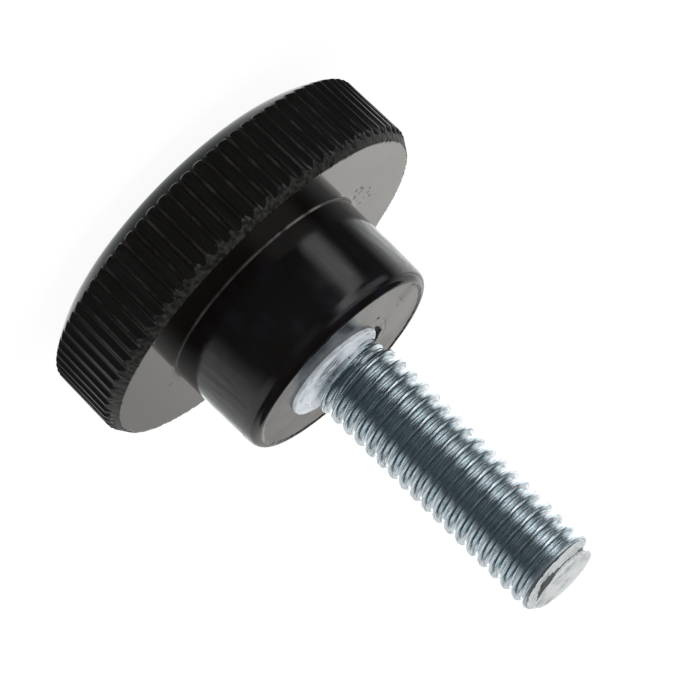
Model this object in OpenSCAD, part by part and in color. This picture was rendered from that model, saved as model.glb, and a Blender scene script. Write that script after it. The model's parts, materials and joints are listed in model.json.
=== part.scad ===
// Knurled thumb knob with a moulded-in threaded stud.
// The knob stands on its crown: the crown's middle is at the origin, and +Z runs along the stud.

/* [Head] */
// Diameter over the crests of the knurl, where the rim meets the chamfer
head_d = 25.8; // [22:0.1:32]
// Height of the knurled rim
rim_h = 4.4; // [3:0.1:8]
// Angle by which the rim draws in towards the crown, for the mould
rim_draft = 1.5; // [0:0.1:3]
// Radius of curvature of the middle of the crown
crown_r = 50; // [40:1:80]
// Width of the crown's rounder shoulder, measured inwards from the rim
shoulder_w = 3.5; // [2:0.1:4.5]
// Radius of curvature of the crown's shoulder
shoulder_r = 7.7; // [6.8:0.1:10]
// Radius of the edge between the shoulder and the rim
edge_r = 0.2; // [0.1:0.05:0.5]
// Height of the plain chamfer under the rim
chamfer_h = 0.8; // [0.4:0.05:1.5]
// Width of that chamfer, measured inwards
chamfer_w = 0.5; // [0.4:0.05:1]

/* [Knurl] */
// Number of flutes round the rim
flute_count = 78; // [60:1:90]
// Depth of each flute
flute_depth = 0.28; // [0.15:0.01:0.35]
// Width of the flat left on each crest
crest_w = 0.1; // [0.05:0.01:0.2]

/* [Hub] */
// Diameter of the hub where it leaves the head
hub_d = 15.1; // [13:0.1:20]
// Height of the hub above the head's underside
hub_h = 7; // [4:0.1:12]
// Angle by which the hub draws in towards its face, for the mould
hub_draft = 0.2; // [0:0.05:1]
// Radius of the corner round the hub's face
hub_corner_r = 0.6; // [0.2:0.05:1.2]
// Radius of the fillet between the hub and the head
hub_fillet_r = 0.2; // [0.1:0.05:0.5]

/* [Stud] */
// Diameter over the thread's crests, for an M6 thread as rolled
thread_d = 5.8; // [4.8:0.05:6]
// Length of the stud that stands out of the hub
stud_l = 19.6; // [10:0.1:40]
// Diameter of the stud's flat end
stud_end_d = 4.8; // [3.6:0.1:4.8]
// Height of the taper that leads to the flat end
stud_end_h = 0.6; // [0.3:0.05:1.5]
// Height above the hub's face at which the thread has its full diameter
thread_start = 0.9; // [0.8:0.05:2]
// Pitch of the thread
thread_pitch = 1; // [0.8:0.05:1.25]
// Width of each of its crests
thread_crest_w = 0.35; // [0.2:0.01:0.4]
// Width of each of its roots
thread_root_w = 0.19; // [0.1:0.01:0.3]
// Diameter of the plain shank below the thread
shank_d = 5.35; // [4.5:0.05:5.5]
// Length of the shank that is held in the knob, between the hub's face and the hexagonal head
grip_l = 5.4; // [3:0.1:8]
// Size of the hexagonal head across its flats
hex_af = 10; // [8:0.1:10.5]
// Height of the hexagonal head
hex_h = 4; // [2:0.1:4.5]

/* [Collar] */
// Diameter of the flared collar at the hub's face
collar_d = 7.1; // [6.8:0.05:8]
// Height of the collar above that face
collar_h = 0.45; // [0.3:0.05:0.6]
// Depth to which the collar is let into the face
collar_seat = 0.3; // [0.2:0.05:0.6]
// Radius of the collar's rounded outside
collar_round_r = 1.5; // [1:0.05:2]
// Distance by which the collar sits off the stud's axis, towards +X
collar_offset = 0.6; // [0:0.05:0.7]

/* [Flaw] */
// Width of the short groove left in the hub's face beside the collar
groove_w = 0.5; // [0.3:0.05:0.8]
// Depth of that groove
groove_depth = 0.2; // [0.1:0.05:0.35]
// Gap between the groove and the collar
groove_gap = 0.1; // [0.05:0.05:0.5]
// Direction of the groove's middle, seen from the collar's middle and measured from +X
groove_angle = 155; // [90:1:270]
// Angle that the groove spans
groove_span = 23; // [10:1:60]

/* [Hidden] */

// Facets of a full circle, with fewer round the thread and on small arcs
$fn = 80;
thread_fn = 32;
arc_fn = 24;

// By how much a rounding stands proud of what it rounds, so that the two cross and don't just touch
bite = 0.002;

PLASTIC = [0.10, 0.09, 0.09];
STEEL = [0.74, 0.79, 0.83];

// Crown: three arcs, each starting where the last one ended and in its direction.
// An angle here is the surface's slope, from 0 at the middle to 90 - rim_draft at the rim.
rim_r = head_d / 2;
rim_top_r = rim_r - rim_h * tan(rim_draft);
slope_rim = 90 - rim_draft;
slope_middle = asin((rim_top_r - shoulder_w) / crown_r);
slope_shoulder = asin((shoulder_w + shoulder_r * sin(slope_middle) - edge_r * sin(slope_rim))
                      / (shoulder_r - edge_r));

// Centre of an arc that passes through a point where the surface has a given slope, and a point on it
function arc_centre(p, r, slope) = [p[0] - r * sin(slope), p[1] + r * cos(slope)];
function arc_point(c, r, slope) = [c[0] + r * sin(slope), c[1] - r * cos(slope)];

crown_start = [0, 0];
middle_c = arc_centre(crown_start, crown_r, 0);
middle_end = arc_point(middle_c, crown_r, slope_middle);
shoulder_c = arc_centre(middle_end, shoulder_r, slope_middle);
shoulder_end = arc_point(shoulder_c, shoulder_r, slope_shoulder);
edge_c = arc_centre(shoulder_end, edge_r, slope_shoulder);
rim_top = arc_point(edge_c, edge_r, slope_rim);

// Heights, from the crown up
rim_z = rim_top[1];
chamfer_z = rim_z + rim_h;
underside_z = chamfer_z + chamfer_h;
face_z = underside_z + hub_h;
hex_top_z = face_z - grip_l;
hex_z = hex_top_z - hex_h;
stud_end_z = face_z + stud_l;

// Hub: a tapered wall between the fillet at its root and the corner at its face
hub_r = hub_d / 2;
hub_top_r = hub_r - hub_h * tan(hub_draft);
corner_slope = 90 + hub_draft;
corner_c = [hub_top_r - hub_corner_r * (1 / cos(hub_draft) - tan(hub_draft)), face_z - hub_corner_r];

// Flute cutter: the circle through two neighbouring crest flats, flute_depth deep between them
half_chord = rim_r * sin(180 / flute_count) - crest_w / 2;
crest_sag = rim_r - sqrt(rim_r * rim_r - half_chord * half_chord);
cut_depth = flute_depth - crest_sag;
flute_r = (half_chord * half_chord + cut_depth * cut_depth) / (2 * cut_depth);

// How far outside the crests the cutters stop, about a quarter of the way to where neighbours would meet
flute_clear = crest_w / 8 * half_chord / (flute_r - cut_depth);

// Stud: a plain shank that widens to the thread at 45 degrees
thread_r = thread_d / 2;
shank_r = shank_d / 2;
thread_z = face_z + thread_start;
thread_top_z = stud_end_z - stud_end_h;
widening_h = thread_r - shank_r;

// Thread: rings a pitch apart, with the section of a 60 degree thread but without its lead.
// There are as many grooves as leave at least part of a crest at the top.
flank_h = (thread_pitch - thread_crest_w - thread_root_w) / 2;
thread_root_r = thread_r - flank_h / tan(30);
thread_grooves = floor((thread_top_z - thread_z - thread_crest_w / 4) / thread_pitch);

// Groove: the circle of its section
groove_r = (groove_w * groove_w / 4 + groove_depth * groove_depth) / (2 * groove_depth);

// Rounds a convex corner of a section: between two slopes, nothing is left outside the arc
module round_off(c, r, from, to) {
    reach = 3 * r + 1;
    difference() {
        children();
        difference() {
            polygon([c, for (slope = [from, (from + to) / 2, to]) arc_point(c, reach, slope)]);
            translate(c) circle(r = r + bite, $fn = r < 1 ? arc_fn : $fn);
        }
    }
}

// The head's section on the +X side: crown, shoulder, edge, rim, chamfer and underside
module head_section() {
    round_off(edge_c, edge_r, slope_shoulder, slope_rim)
        round_off(shoulder_c, shoulder_r, slope_middle, 90)
            intersection() {
                translate(middle_c) circle(r = crown_r);
                polygon([
                    [0, 0],
                    [rim_r - chamfer_z * tan(rim_draft), 0],
                    [rim_r, chamfer_z],
                    [rim_r - chamfer_w, underside_z],
                    [0, underside_z]
                ]);
            }
}

// The hub's section, with its rounded corner
module hub_section() {
    round_off(corner_c, hub_corner_r, corner_slope, 180)
        polygon([
            [0, underside_z - hub_fillet_r],
            [hub_r, underside_z - hub_fillet_r],
            [hub_r, underside_z],
            [hub_top_r, face_z],
            [0, face_z]
        ]);
}

// The fillet's section, in the angle between the hub and the underside
module fillet_section() {
    difference() {
        translate([hub_r - hub_fillet_r, underside_z - hub_fillet_r]) square(2 * hub_fillet_r);
        translate([hub_r + hub_fillet_r, underside_z + hub_fillet_r])
            circle(r = hub_fillet_r + bite, $fn = arc_fn);
    }
}

module blank() {
    rotate_extrude() {
        head_section();
        hub_section();
        fillet_section();
    }
}

// The cross-section of one flute's cutter, which stops just outside the crests
module flute_section() {
    intersection() {
        translate([rim_r - flute_depth + flute_r, 0]) circle(r = flute_r, $fn = arc_fn);
        translate([rim_r + flute_clear - 2 * flute_r, -flute_r]) square(2 * flute_r);
    }
}

// One cutter per flute, leaning with the rim's draft
module flutes() {
    for (i = [0:flute_count - 1])
        rotate([0, 0, i * 360 / flute_count])
            translate([rim_r, 0, chamfer_z])
                rotate([0, rim_draft, 0])
                    translate([-rim_r, 0, -2 * rim_h])
                        linear_extrude(height = 4 * rim_h) flute_section();
}

// The short groove beside the collar
module groove() {
    translate([collar_offset, 0, face_z + groove_r - groove_depth])
        rotate([0, 0, groove_angle - groove_span / 2])
            rotate_extrude(angle = groove_span)
                translate([collar_d / 2 + groove_gap + groove_w / 2, 0])
                    circle(r = groove_r, $fn = arc_fn);
}

// One groove of the thread, as four points of the stud's section, which starts where a crest ends
function thread_groove(z) = [
    [thread_r, z],
    [thread_root_r, z + flank_h],
    [thread_root_r, z + flank_h + thread_root_w],
    [thread_r, z + 2 * flank_h + thread_root_w]
];

// Hexagonal head, plain shank and thread
module stud_body() {
    hex_r = hex_af / 2 / cos(30);
    translate([0, 0, hex_z]) cylinder(r = hex_r, h = hex_h, $fn = 6);
    rotate_extrude($fn = thread_fn) polygon([
        [0, hex_z + hex_h / 2],
        [shank_r, hex_z + hex_h / 2],
        [shank_r, thread_z - widening_h],
        [thread_r, thread_z],
        for (i = [0:thread_grooves - 1])
            each thread_groove(thread_z + thread_crest_w + i * thread_pitch),
        [thread_r, thread_top_z],
        [stud_end_d / 2, stud_end_z],
        [0, stud_end_z]
    ]);
}

// Flared collar, off the stud's axis and let into the hub's face
module collar() {
    collar_r = collar_d / 2;
    round_x = collar_r - sqrt(2 * collar_round_r * collar_h - collar_h * collar_h);
    translate([collar_offset, 0, face_z])
        rotate_extrude() {
            translate([0, -collar_seat]) square([collar_r, collar_seat]);
            square([round_x, collar_h]);
            intersection() {
                translate([round_x, collar_h - collar_round_r]) circle(r = collar_round_r, $fn = arc_fn);
                square([collar_r, collar_h]);
            }
        }
}

module knob() {
    color(PLASTIC) difference() {
        blank();
        flutes();
        stud_body();
        collar();
        groove();
    }
}

module stud() {
    color(STEEL) {
        stud_body();
        collar();
    }
}

knob();
stud();
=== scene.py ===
"""Dresses the knurled knob: a black moulded head with a fluted rim, and the zinc-plated stud in its hub.

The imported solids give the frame. Each class below makes one visible piece at the solids' own sizes,
in millimetres, and hands it over in metres. +Z runs from the crown to the end of the stud.
"""
import json
import logging
import math
from dataclasses import dataclass
from enum import Enum, IntEnum
from functools import partial
from typing import Callable, Iterable

import bmesh
import bpy
from mathutils import Matrix, Vector, noise


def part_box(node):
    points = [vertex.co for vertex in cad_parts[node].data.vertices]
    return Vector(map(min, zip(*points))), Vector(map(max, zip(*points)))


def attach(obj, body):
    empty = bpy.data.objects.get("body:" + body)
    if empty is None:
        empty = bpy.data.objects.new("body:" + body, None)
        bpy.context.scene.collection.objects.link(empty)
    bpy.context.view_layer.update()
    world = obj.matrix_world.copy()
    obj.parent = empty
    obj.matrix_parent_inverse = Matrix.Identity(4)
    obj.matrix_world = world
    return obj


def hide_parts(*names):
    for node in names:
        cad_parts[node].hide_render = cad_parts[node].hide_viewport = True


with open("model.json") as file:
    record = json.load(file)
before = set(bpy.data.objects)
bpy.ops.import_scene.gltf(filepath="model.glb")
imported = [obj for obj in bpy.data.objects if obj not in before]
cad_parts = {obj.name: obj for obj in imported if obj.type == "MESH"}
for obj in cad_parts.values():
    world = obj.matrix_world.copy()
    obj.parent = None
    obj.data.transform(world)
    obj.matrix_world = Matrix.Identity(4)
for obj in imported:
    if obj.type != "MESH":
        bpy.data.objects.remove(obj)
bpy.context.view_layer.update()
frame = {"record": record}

MM = 0.001
BODY = "root"
LOG = logging.getLogger("knob")

# The solids' own sizes, in millimetres. Crests stay a hair inside the knob's box.
MOUNTS = {mount["name"]: mount for mount in frame["record"]["mounts"]}
FACE_Z = MOUNTS["hub_face"]["pos_m"][2] / MM
RIM_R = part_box("knob")[1][1] / MM - 0.001
END_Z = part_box("stud")[1][2] / MM
THREAD_R = MOUNTS["stud"]["dims"]["r_mm"]

# Lengths this close are the same, and vertices this close are merged
SAME = 0.001
MERGE = 0.002
# Steps of the solver, and the gap in blend lengths past which soft_min has nothing left to blend
HALVINGS = 40
FAR_APART = 20
# Settings of a MapRange node that eases in and out, and of a Mix node that mixes colours
SMOOTH = {"interpolation_type": "SMOOTHSTEP"}
COLOURS = {"out": 2, "data_type": "RGBA"}

Adder = Callable[..., bpy.types.NodeSocket]
Colour = tuple[float, float, float, float]
Face = bmesh.types.BMFace
Material = bpy.types.Material
Mesh = bmesh.types.BMesh
Object = bpy.types.Object
Pair = tuple[float, float]
Socket = bpy.types.NodeSocket
Triple = tuple[float, float, float]


# --- small tools ---------------------------------------------------------------------------------


def hex_colour(code: str) -> Colour:
    """Turns an sRGB hex colour into the linear colour that a shader takes.

    Args:
        code: Six hex digits.

    Returns:
        Linear red, green and blue, and an alpha of one.
    """
    channels = [int(code[i:i + 2], 16) / 255 for i in (0, 2, 4)]
    linear = [c / 12.92 if c <= 0.04045 else ((c + 0.055) / 1.055) ** 2.4 for c in channels]
    return (*linear, 1.0)


def add_node(tree: bpy.types.NodeTree, kind: str, inputs: object = (), out: int | str = 0,
             **settings: object) -> Socket | None:
    """Adds one node to a tree, with its settings, input values and links.

    Args:
        tree: The node tree.
        kind: The node's type, without the ShaderNode in front.
        inputs: Values, or the sockets that feed them, in the node's own order or by name or number.
        out: Which of its outputs is wanted.
        settings: The node's own properties.

    Returns:
        That output, or nothing from a node that has none.
    """
    node = tree.nodes.new("ShaderNode" + kind)
    for name, value in settings.items():
        setattr(node, name, value)
    for key, value in inputs.items() if isinstance(inputs, dict) else enumerate(inputs):
        if isinstance(value, Socket):
            tree.links.new(value, node.inputs[key])
        else:
            node.inputs[key].default_value = value
    return node.outputs[out] if node.outputs else None


def clamp(value: float) -> float:
    """The value, held between zero and one."""
    return min(max(value, 0.0), 1.0)


def crumple(place: Vector, layers: int) -> float:
    """Rough noise about zero, each layer twice as fine and half as strong as the one before."""
    return noise.fractal(place, 1.0, 2.0, layers)


def soft_min(a: float, b: float, blend: float) -> float:
    """The smaller of two values, eased into each other over about the blend length."""
    low, gap = min(a, b), abs(a - b)
    return low - blend * math.log1p(math.exp(-gap / blend)) if gap < FAR_APART * blend else low


def solve(test: Callable[[float], float], low: float, high: float) -> float:
    """Finds where a rising function crosses zero, by halving.

    Args:
        test: The function.
        low: A place where it is below zero.
        high: A place where it is above zero.

    Returns:
        The place of the crossing.
    """
    for _ in range(HALVINGS):
        middle = (low + high) / 2
        low, high = (middle, high) if test(middle) < 0 else (low, middle)
    return (low + high) / 2


def arc(centre: Pair, radius: float, start: float, end: float, steps: int) -> list[Pair]:
    """Points along an arc of a section.

    Args:
        centre: The arc's centre, as radius and height.
        radius: The arc's radius.
        start: First angle in degrees, from the outward direction towards +Z.
        end: Last angle.
        steps: Number of stretches.

    Returns:
        Both ends and the points between them.
    """
    turns = [math.radians(start + (end - start) * i / steps) for i in range(steps + 1)]
    return [(centre[0] + radius * math.cos(a), centre[1] + radius * math.sin(a)) for a in turns]


def wire(bm: Mesh, points: Iterable[Pair]) -> list:
    """Draws a section as a chain of edges in the XZ plane.

    Args:
        bm: The mesh that takes it.
        points: Radius and height of each point.

    Returns:
        The new vertices and edges.
    """
    verts = [bm.verts.new((r, 0, z)) for r, z in points]
    return verts + [bm.edges.new(pair) for pair in zip(verts, verts[1:])]


def spin(bm: Mesh, geom: list, angle: float, steps: int, rise: float = 0.0, copies: bool = False,
         closed: bool = False) -> None:
    """Spins geometry about the Z axis.

    Args:
        bm: The mesh.
        geom: What is spun.
        angle: The whole turn, in radians.
        steps: Number of steps in it.
        rise: Height gained with each step.
        copies: Whether each step is a copy, and not a strip of faces.
        closed: Whether the last step joins the first.
    """
    bmesh.ops.spin(bm, geom=geom, cent=(0, 0, 0), axis=(0, 0, 1), dvec=(0, 0, rise), angle=angle,
                   steps=steps, use_merge=closed, use_duplicate=copies)


def whole(bm: Mesh) -> list:
    """Everything in a mesh."""
    return bm.verts[:] + bm.edges[:] + bm.faces[:]


def finish_piece(bm: Mesh, name: str, materials: Iterable[Material],
                 sharp_deg: float = 40.0) -> Object:
    """Turns a bmesh in millimetres into a smooth-shaded object in metres, at the origin.

    Args:
        bm: The mesh, which is freed.
        name: The piece's name.
        materials: Its materials, in the order of the faces' material numbers.
        sharp_deg: Edges that turn by more than this stay sharp.

    Returns:
        The new object.
    """
    bmesh.ops.recalc_face_normals(bm, faces=bm.faces)
    limit = math.radians(sharp_deg)
    for edge in bm.edges:
        edge.smooth = len(edge.link_faces) != 2 or edge.calc_face_angle(0.0) < limit
    for face in bm.faces:
        face.smooth = True
    bmesh.ops.scale(bm, vec=(MM, MM, MM), verts=bm.verts)
    mesh = bpy.data.meshes.new(name)
    bm.to_mesh(mesh)
    bm.free()
    piece = bpy.data.objects.new(name, mesh)
    bpy.context.scene.collection.objects.link(piece)
    for material in materials:
        mesh.materials.append(material)
    return piece


def bare_material(name: str) -> tuple[Material, Adder]:
    """Starts a material without nodes. Returns it, and the function that adds a node to it."""
    material = bpy.data.materials.new(name)
    material.use_nodes = True
    material.node_tree.nodes.clear()
    return material, partial(add_node, material.node_tree)


# --- finishes ------------------------------------------------------------------------------------


class Slot(Enum):
    """The record's material slots."""

    PLASTIC = "plastic"
    ZINC = "zinc_steel"


@dataclass(frozen=True)
class Cloud:
    """A cloudy pattern: the size of its clouds along X, Y and Z in millimetres, and its finer layers.

    Two patterns differ by where they start. Levels, where it has them, are where it turns from off to on.
    """

    grain: Triple
    detail: float = 2.0
    at: Triple = (0, 0, 0)
    levels: Pair | None = None


@dataclass(frozen=True)
class Specks:
    """Round specks at random: mean spacing and radius in millimetres, and the share of places with one."""

    spacing: float
    radius: float
    share: float


class Surface:
    """A material in the making, whose patterns are laid out in the object's own millimetres."""

    def __init__(self, name: str) -> None:
        """Starts an empty Principled material.

        Args:
            name: The material's name.
        """
        self.material = bpy.data.materials.new(name)
        self.material.use_nodes = True
        self.tree = self.material.node_tree
        self.shader = self.tree.nodes["Principled BSDF"]
        self.add = partial(add_node, self.tree)
        coords = self.add("TexCoord", out="Object")
        self.place = self.add("VectorMath", {0: coords, "Scale": 1 / MM}, operation="SCALE")
        self.x, self.y, self.z = self.add("SeparateXYZ", (self.place,)).node.outputs

    def reach(self) -> Socket:
        """Distance from the axis. Returns the output socket."""
        flat = self.add("CombineXYZ", (self.x, self.y))
        return self.add("VectorMath", (flat,), "Value", operation="LENGTH")

    def cloud(self, pattern: Cloud, low: float = 0.0, high: float = 1.0) -> Socket:
        """Lays out a cloudy pattern.

        Args:
            pattern: The pattern. One without levels is left as it comes, from about zero to one.
            low: Result below its levels.
            high: Result above them.

        Returns:
            The output socket.
        """
        scale = tuple(1 / size for size in pattern.grain)
        where = self.add("Mapping", {"Vector": self.place, "Location": pattern.at, "Scale": scale})
        fog = self.add("TexNoise", {"Vector": where, "Scale": 1.0, "Detail": pattern.detail})
        if pattern.levels is None:
            return fog
        return self.add("MapRange", (fog, *pattern.levels, low, high), **SMOOTH)

    def scatter(self, specks: Specks) -> Socket:
        """Scatters specks.

        Args:
            specks: Their sizes.

        Returns:
            One on a speck and zero off it.
        """
        cells = self.add("TexVoronoi", {"Vector": self.place, "Scale": 1 / specks.spacing}, "Distance")
        size = specks.radius / specks.spacing
        near = self.add("MapRange", (cells, size, size / 2), **SMOOTH)
        lot = self.add("SeparateColor", (cells.node.outputs["Color"],))
        kept = self.add("Math", (lot, specks.share), operation="LESS_THAN")
        return self.add("Math", (near, kept), operation="MULTIPLY")

    def finish(self, base: str, coats: Iterable[tuple[Socket, str]], rough: Socket,
               layers: Iterable[tuple[Socket, float]]) -> Material:
        """Lays the coats of colour and the layers of relief over each other, and feeds the shader.

        Args:
            base: The colour under the coats.
            coats: Each coat's share at every place, and its colour.
            rough: The roughness.
            layers: Each layer's height from zero to one, and what one stands for in millimetres.

        Returns:
            The material.
        """
        colour = hex_colour(base)
        for share, coat in coats:
            colour = self.add("Mix", {0: share, 6: colour, 7: hex_colour(coat)}, **COLOURS)
        relief = {}
        for height, deep in layers:
            bump = {"Height": height, "Distance": deep * MM, "Strength": 1.0}
            relief = {"Normal": self.add("Bump", {**bump, **relief})}
        for name, socket in {"Base Color": colour, "Roughness": rough, **relief}.items():
            self.tree.links.new(socket, self.shader.inputs[name])
        return self.material


@dataclass(frozen=True)
class MouldedThermoset:
    """Black phenolic resin, pressed hot in a polished steel mould.

    The eye gets a deep black with clear reflections, clouded where the mould's polish wore, and a few
    pale specks of filler.
    """

    name: str = "moulded_black_phenolic"
    colour: str = "110e0b"
    bloom: str = "110e0b"
    dust: str = "6c6966"
    scuff: str = "4c4947"
    ior: float = 1.55
    gloss: float = 0.085
    cloud: float = 0.05
    drag: float = 0.0
    waviness: float = 0.004
    scuffed: float = 0.0
    cone: Pair = (0.0, 0.0)
    crumbs: tuple[Triple, ...] = ()

    # Clouds 3 mm wide where the polish wore, draw lines 0.25 mm apart along the axis, and a faint bloom
    WORN_POLISH = Cloud((3, 3, 3), 3.0, levels=(0.35, 0.7))
    DRAW_LINES = Cloud((0.25, 0.25, 9), 2.0, (7, 0, 0), (0.45, 0.75))
    HAZE = Cloud((1.5, 1.5, 2.0), 3.0, (1, 7, 5), (0.45, 0.75))
    SWELL = Cloud((2.2, 2.2, 2.2), 1.0, (3, 1, 4))
    # The skin's texture is some microns wide, and is drawn as coarse as it needs to show
    SKIN = Cloud((0.09, 0.09, 0.09))
    SKIN_DEEP = 0.0006
    FILLER = Specks(1.1, 0.085, 0.08)
    FILLER_DEEP = 0.012
    # Handling rubs the crests in patches, and leaves fine dull streaks along the flutes
    RUBBED = Cloud((0.8, 0.8, 1.1), 4.0, (2, 6, 1), (0.42, 0.75))
    STREAKS = Cloud((0.45, 0.45, 5.0), 3.0, (4, 4, 0), (0.4, 0.75))
    STREAKED = 0.2
    CREST_BAND = (0.05, 0.01)
    # Crumbs of flash 0.3 mm across, in patches that fade from this share of their radius
    FLASH = Specks(0.4, 0.14, 0.55)
    FLASH_DEEP = 0.06
    FLASH_FADES = 0.6
    # Filler and scuffs are this much rougher than the polish
    ROUGHER = 0.5

    def build(self) -> Material:
        """Returns the material."""
        skin = Surface(self.name)
        skin.shader.inputs["IOR"].default_value = self.ior
        filler = skin.scatter(self.FILLER)
        coats = [(skin.cloud(self.HAZE), self.bloom), (filler, self.dust)]
        rough = skin.cloud(self.WORN_POLISH, 0.0, self.cloud)
        for part in (self.gloss, skin.cloud(self.DRAW_LINES, 0.0, self.drag)):
            rough = skin.add("Math", (rough, part), operation="ADD")
        rough = skin.add("Math", (filler, self.ROUGHER, rough), operation="MULTIPLY_ADD")
        if self.scuffed:
            wear = self.wear(skin)
            coats.append((wear, self.scuff))
            rough = skin.add("Math", (wear, self.ROUGHER, rough), operation="MULTIPLY_ADD")
        layers = [(skin.cloud(self.SWELL), self.waviness), (filler, self.FILLER_DEEP)]
        layers += [(self.crumbled(skin, patch), self.FLASH_DEEP) for patch in self.crumbs]
        layers.append((skin.cloud(self.SKIN), self.SKIN_DEEP))
        return skin.finish(self.colour, coats, rough, layers)

    def wear(self, skin: Surface) -> Socket:
        """Where handling scuffs the flutes' crests, which lie on the rim's cone.

        Args:
            skin: The material.

        Returns:
            The output socket.
        """
        base_r, lean = self.cone
        outer, inner = self.CREST_BAND
        proud = skin.add("Math", (skin.z, -lean, skin.reach()), operation="MULTIPLY_ADD")
        crest = skin.add("MapRange", (proud, base_r - outer, base_r - inner), **SMOOTH)
        crest = skin.add("Math", (crest, skin.cloud(self.RUBBED)), operation="MULTIPLY")
        worn = skin.add("Math", (skin.cloud(self.STREAKS), self.STREAKED, crest), operation="MULTIPLY_ADD")
        return skin.add("Math", (worn, self.scuffed), operation="MULTIPLY")

    def crumbled(self, skin: Surface, patch: Triple) -> Socket:
        """Crumbs of flash stuck to a flat face.

        Args:
            skin: The material.
            patch: The patch's middle, and its radius across X. It is twice as long.

        Returns:
            The output socket.
        """
        x, y, size = patch
        away = skin.add("VectorMath", (skin.place, (x, y, 0)), operation="SUBTRACT")
        flat = skin.add("VectorMath", (away, (1, 0.5, 0)), operation="MULTIPLY")
        span = skin.add("VectorMath", (flat,), "Value", operation="LENGTH")
        inside = skin.add("MapRange", (span, size, size * self.FLASH_FADES), **SMOOTH)
        return skin.add("Math", (skin.scatter(self.FLASH), inside), operation="MULTIPLY")


@dataclass(frozen=True)
class TrimmedThermoset:
    """The same phenolic where the mould's flash was turned off.

    The cut opens the filler, so the eye gets a dull, greyer and mottled black.
    """

    name: str = "trimmed_black_phenolic"
    dark: str = "11100e"
    pale: str = "35322f"
    grain: float = 0.3
    highlight_fades: Pair | None = None

    # The painted highlight on the fillet is full towards -X and fades to this share towards +X
    FADED = 0.22
    MOTTLED = (0.3, 0.75)
    ROUGHNESS = (0.42, 0.62)
    CUT = Cloud((0.1, 0.1, 0.1), 3.0)
    CUT_DEEP = 0.012

    def build(self) -> Material:
        """Returns the material."""
        skin = Surface(self.name)
        mottle = skin.cloud(Cloud((self.grain,) * 3, 4.0, levels=self.MOTTLED))
        if self.highlight_fades:
            full = skin.add("MapRange", (skin.x, *self.highlight_fades, 1.0, self.FADED), **SMOOTH)
            mottle = skin.add("Math", (mottle, full), operation="MULTIPLY")
        rough = skin.add("MapRange", (mottle, 0.0, 1.0, *self.ROUGHNESS), **SMOOTH)
        return skin.finish(self.dark, [(mottle, self.pale)], rough, [(skin.cloud(self.CUT), self.CUT_DEEP)])


@dataclass(frozen=True)
class ZincPlate:
    """Blue-passivated zinc, plated on rolled steel.

    The eye gets a bright, slightly blue metal, streaked round the thread by the rolling dies. It is duller
    above worn_from, which by default lies past the part's end.
    """

    name: str
    bright: str = "e8f2f6"
    stain: str = "8ba2ad"
    blush: str = "dbd6e2"
    dirt: str = "4c5358"
    shade: str = "33454f"
    metallic: float = 1.0
    rough: float = 0.13
    streak: float = 0.12
    grain_deep: float = 0.010
    worn_from: float = 1000.0
    shaded: float = 0.0

    # Die marks 1.2 mm long and 0.07 mm high, patches of passivation, and the plating's crystals, which are
    # some microns wide and drawn as coarse as they need to show. Depths are shares of grain_deep.
    MARKS = Cloud((1.2, 1.2, 0.07), 3.0)
    PATCHES = Cloud((0.9, 0.9, 0.5), 3.0, (5, 2, 8))
    GRAIN = Cloud((0.07, 0.07, 0.05))
    MARKS_DEEP = 0.6
    CRYSTALS_DEEP = 0.8
    STAIN_GRAIN = 0.5
    STAIN_LEVELS = (0.72, 0.98)
    BLUSH_LEVELS = (0.5, 0.72, 0.0, 0.55)
    DIRT_LEVELS = (0.45, 0.65)
    DIRT_SPECKS = Specks(0.35, 0.07, 0.3)
    STREAK_LEVELS = (0.35, 0.7)
    WORN_OVER = 0.35
    WORN_ROUGHER = 0.22
    # Painted shade in bands in front, darker near the thread where it runs out on the collar, as ramps
    # across X, Y and the radius
    SHADE_X = ((-0.8, 0.3), (3.2, 0.8))
    SHADE_Y = (-1.6, -2.3)
    SHADE_R = (3.75, 3.35, 0.25, 1.0)
    BANDS = Cloud((1.6, 0.1, 0.06), 3.0, (1, 9, 2), (0.38, 0.6))
    BAND_GAP = 0.25

    def build(self) -> Material:
        """Returns the material."""
        skin = Surface(self.name)
        add = skin.add
        skin.shader.inputs["Metallic"].default_value = self.metallic
        marks, patches, grain = (skin.cloud(pattern) for pattern in (self.MARKS, self.PATCHES, self.GRAIN))
        stain = add("Math", (grain, self.STAIN_GRAIN, marks), operation="MULTIPLY_ADD")
        stain = add("MapRange", (stain, *self.STAIN_LEVELS), **SMOOTH)
        blush = add("MapRange", (patches, *self.BLUSH_LEVELS), **SMOOTH)
        soiled = add("MapRange", (patches, *self.DIRT_LEVELS), **SMOOTH)
        soiled = add("Math", (skin.scatter(self.DIRT_SPECKS), soiled), operation="MULTIPLY")
        coats = [(stain, self.stain), (blush, self.blush), (soiled, self.dirt)]
        # Painted shade on the collar's front, darkest near the thread
        if self.shaded:
            coats.append((self.shadow(skin), self.shade))
        rough = add("MapRange", (marks, *self.STREAK_LEVELS, 0.0, self.streak), **SMOOTH)
        rough = add("Math", (rough, self.rough), operation="ADD")
        worn = add("MapRange", (skin.z, self.worn_from, self.worn_from + self.WORN_OVER), **SMOOTH)
        rough = add("Math", (worn, self.WORN_ROUGHER, rough), operation="MULTIPLY_ADD")
        layers = [(marks, self.grain_deep * self.MARKS_DEEP), (grain, self.grain_deep * self.CRYSTALS_DEEP)]
        return skin.finish(self.bright, coats, rough, layers)

    def shadow(self, skin: Surface) -> Socket:
        """The share of the painted shade at each place, in bands in front of the thread.

        Args:
            skin: The material.

        Returns:
            The output socket.
        """
        share = skin.cloud(self.BANDS, self.BAND_GAP, 1.0)
        ramps = [(skin.x, levels) for levels in self.SHADE_X]
        for value, levels in ramps + [(skin.y, self.SHADE_Y), (skin.reach(), self.SHADE_R)]:
            part = skin.add("MapRange", (value, *levels), **SMOOTH)
            share = skin.add("Math", (share, part), operation="MULTIPLY")
        return skin.add("Math", (share, self.shaded), operation="MULTIPLY")


# --- the knob ------------------------------------------------------------------------------------


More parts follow.
